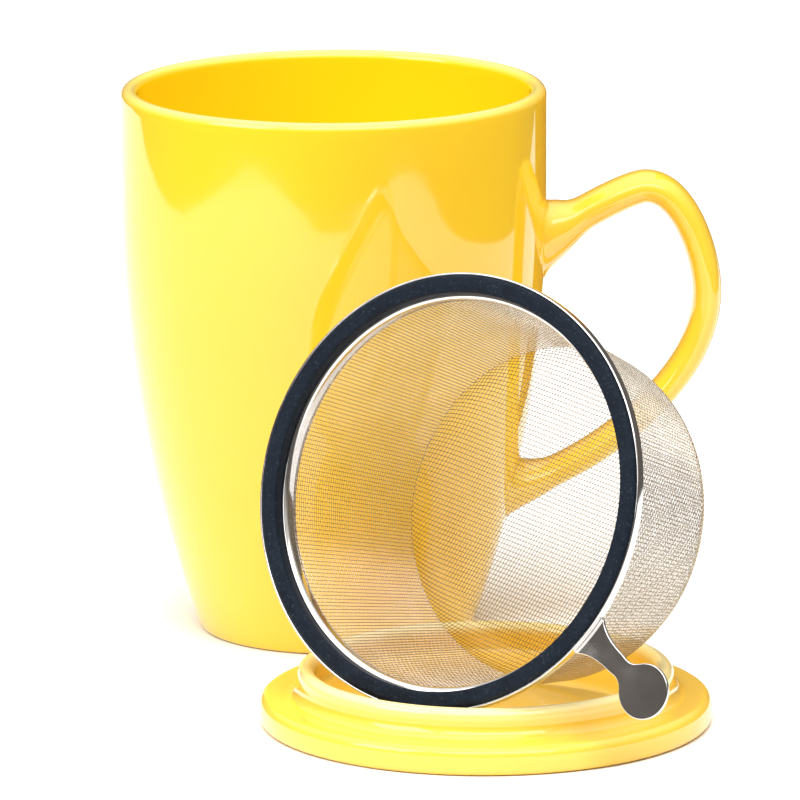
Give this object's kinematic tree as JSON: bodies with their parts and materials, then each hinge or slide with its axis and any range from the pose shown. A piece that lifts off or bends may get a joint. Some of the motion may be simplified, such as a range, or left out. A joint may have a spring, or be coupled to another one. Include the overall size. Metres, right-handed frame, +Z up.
{
  "type": "lidded tea mug with infuser",
  "caption": "Tall glazed tea mug with a strap handle, a loose collared lid lying beside it, and a woven steel infuser basket with a seal ring and lifting tab lying on the lid.",
  "frame": {"origin": "centre of the mug's underside, on the table", "axes": "+Z up along the mug's axis, +X towards the handle, -Y towards the lid and infuser that lie in front"},
  "size_m": [0.1242, 0.1805, 0.114],
  "materials": {
    "glaze": "glossy",
    "polished_steel": "mirror polished",
    "band_steel": "satin",
    "mesh_steel": "woven wire",
    "seal": "matte"
  },
  "bodies": {
    "mug": {"mug_body": "glaze", "mug_handle": "glaze"},
    "lid": {"lid": "glaze"},
    "infuser": {"infuser_rim": "polished_steel", "infuser_gasket": "seal", "infuser_tab": "polished_steel", "infuser_band": "band_steel", "infuser_mesh_wall": "mesh_steel", "infuser_mesh_bottom": "mesh_steel"}
  },
  "joints": [
    {"name": "lid_lift", "type": "slide", "parent": "mug", "child": "lid", "axis": [0.2177, -0.6048, 0.766], "range_m": [0, 0.12]},
    {"name": "infuser_lift", "type": "slide", "parent": "lid", "child": "infuser", "axis": [0, 0, 1], "range_m": [0, 0.12]}
  ]
}
